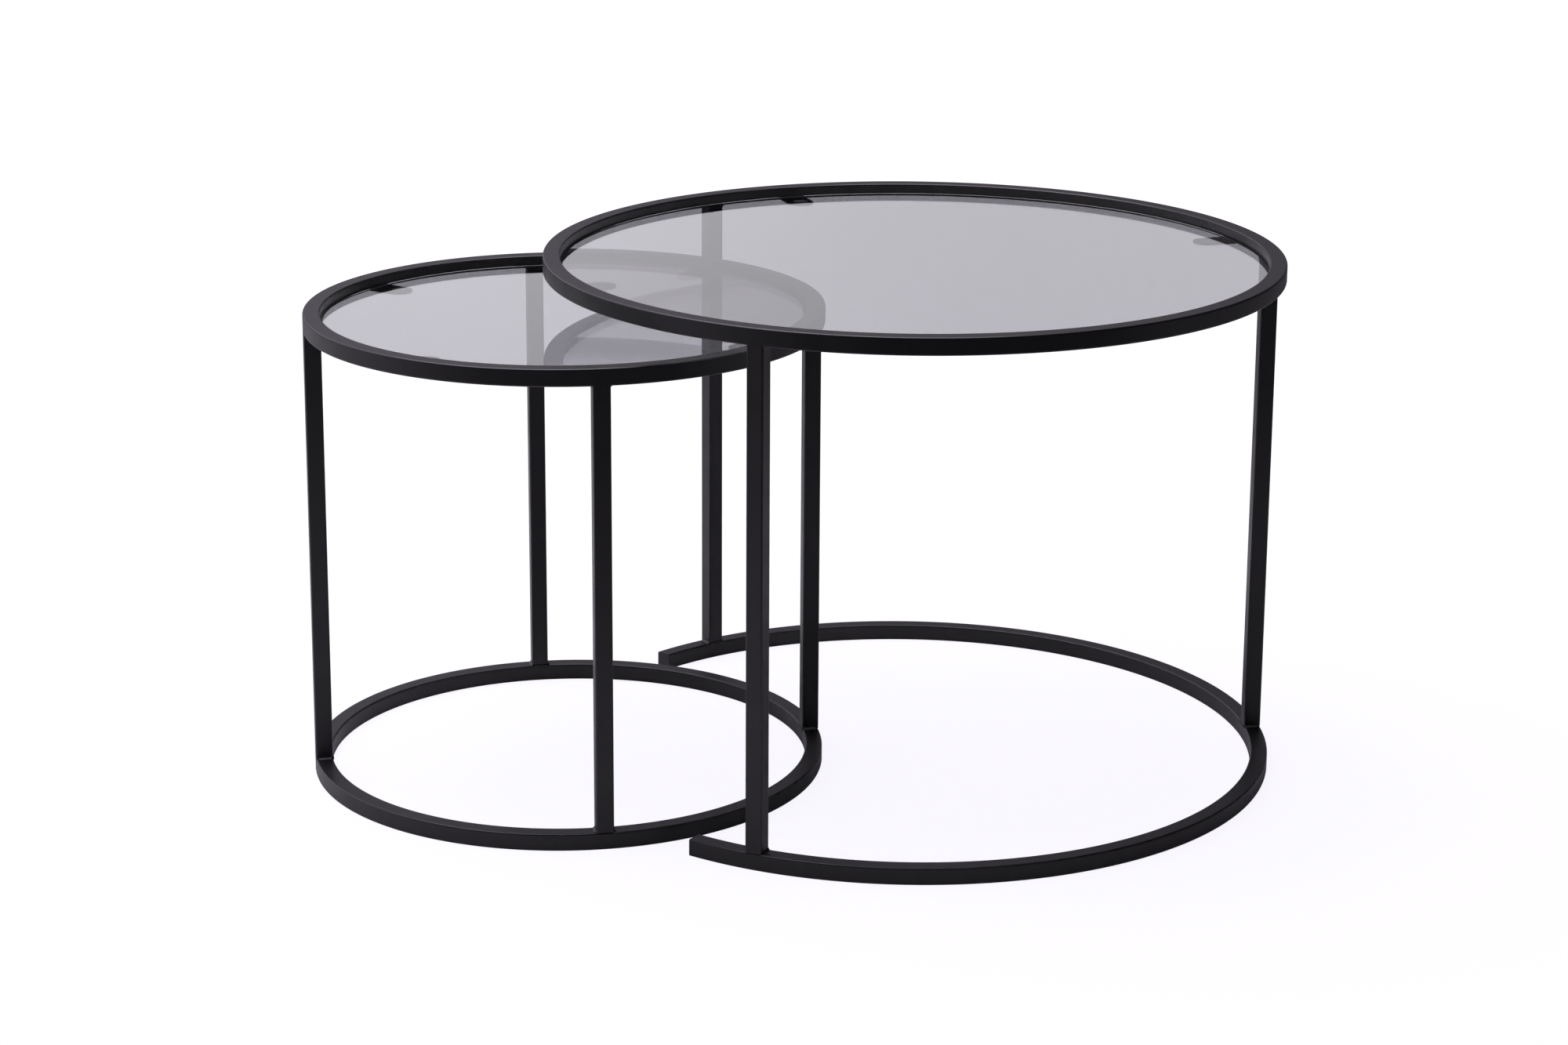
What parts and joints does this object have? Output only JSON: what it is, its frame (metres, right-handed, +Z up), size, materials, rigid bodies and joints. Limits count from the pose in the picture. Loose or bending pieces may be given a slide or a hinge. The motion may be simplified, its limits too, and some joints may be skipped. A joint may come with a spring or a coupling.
{
  "type": "nesting tables",
  "caption": "Pair of round nesting coffee tables: black square-tube frames with drop-in smoked glass tops; the low one slides under the high one through its open base ring.",
  "frame": {"origin": "on the floor, at the middle of the pair's bounding box as it stands part nested", "axes": "+Z up; +X from the small table's centre to the large table's centre, the way the small table slides in; +Y to the rear"},
  "size_m": [0.8585, 0.65, 0.462],
  "materials": {
    "black_frame": "matt black powder coat with a fine texture",
    "smoked_glass": "polished grey-tinted tempered glass with ground edges",
    "glass_pads": "clear soft silicone, slightly cloudy"
  },
  "bodies": {
    "large_table": {"large_top_ring": "black_frame", "large_base_ring": "black_frame", "large_base_end_plate_front": "black_frame", "large_base_end_plate_rear": "black_frame", "large_leg_right": "black_frame", "large_leg_rear": "black_frame", "large_leg_front": "black_frame", "large_glass_tab_right": "black_frame", "large_glass_tab_rear": "black_frame", "large_glass_tab_left": "black_frame", "large_glass_tab_front": "black_frame", "large_glass_pads": "glass_pads"},
    "large_glass_top": {"large_glass": "smoked_glass"},
    "small_table": {"small_top_ring": "black_frame", "small_base_ring": "black_frame", "small_leg_right": "black_frame", "small_leg_rear": "black_frame", "small_leg_left": "black_frame", "small_leg_front": "black_frame", "small_glass_tab_rear_right": "black_frame", "small_glass_tab_rear_left": "black_frame", "small_glass_tab_front_left": "black_frame", "small_glass_tab_front_right": "black_frame", "small_glass_pads": "glass_pads"},
    "small_glass_top": {"small_glass": "smoked_glass"}
  },
  "joints": [
    {"name": "nest_slide", "type": "slide", "parent": "large_table", "child": "small_table", "axis": [1, 0, 0], "range_m": [-0.25, 0.306]},
    {"name": "large_glass_lift", "type": "slide", "parent": "large_table", "child": "large_glass_top", "axis": [0, 0, 1], "range_m": [0, 0.15]},
    {"name": "small_glass_lift", "type": "slide", "parent": "small_table", "child": "small_glass_top", "axis": [0, 0, 1], "range_m": [0, 0.03]}
  ]
}
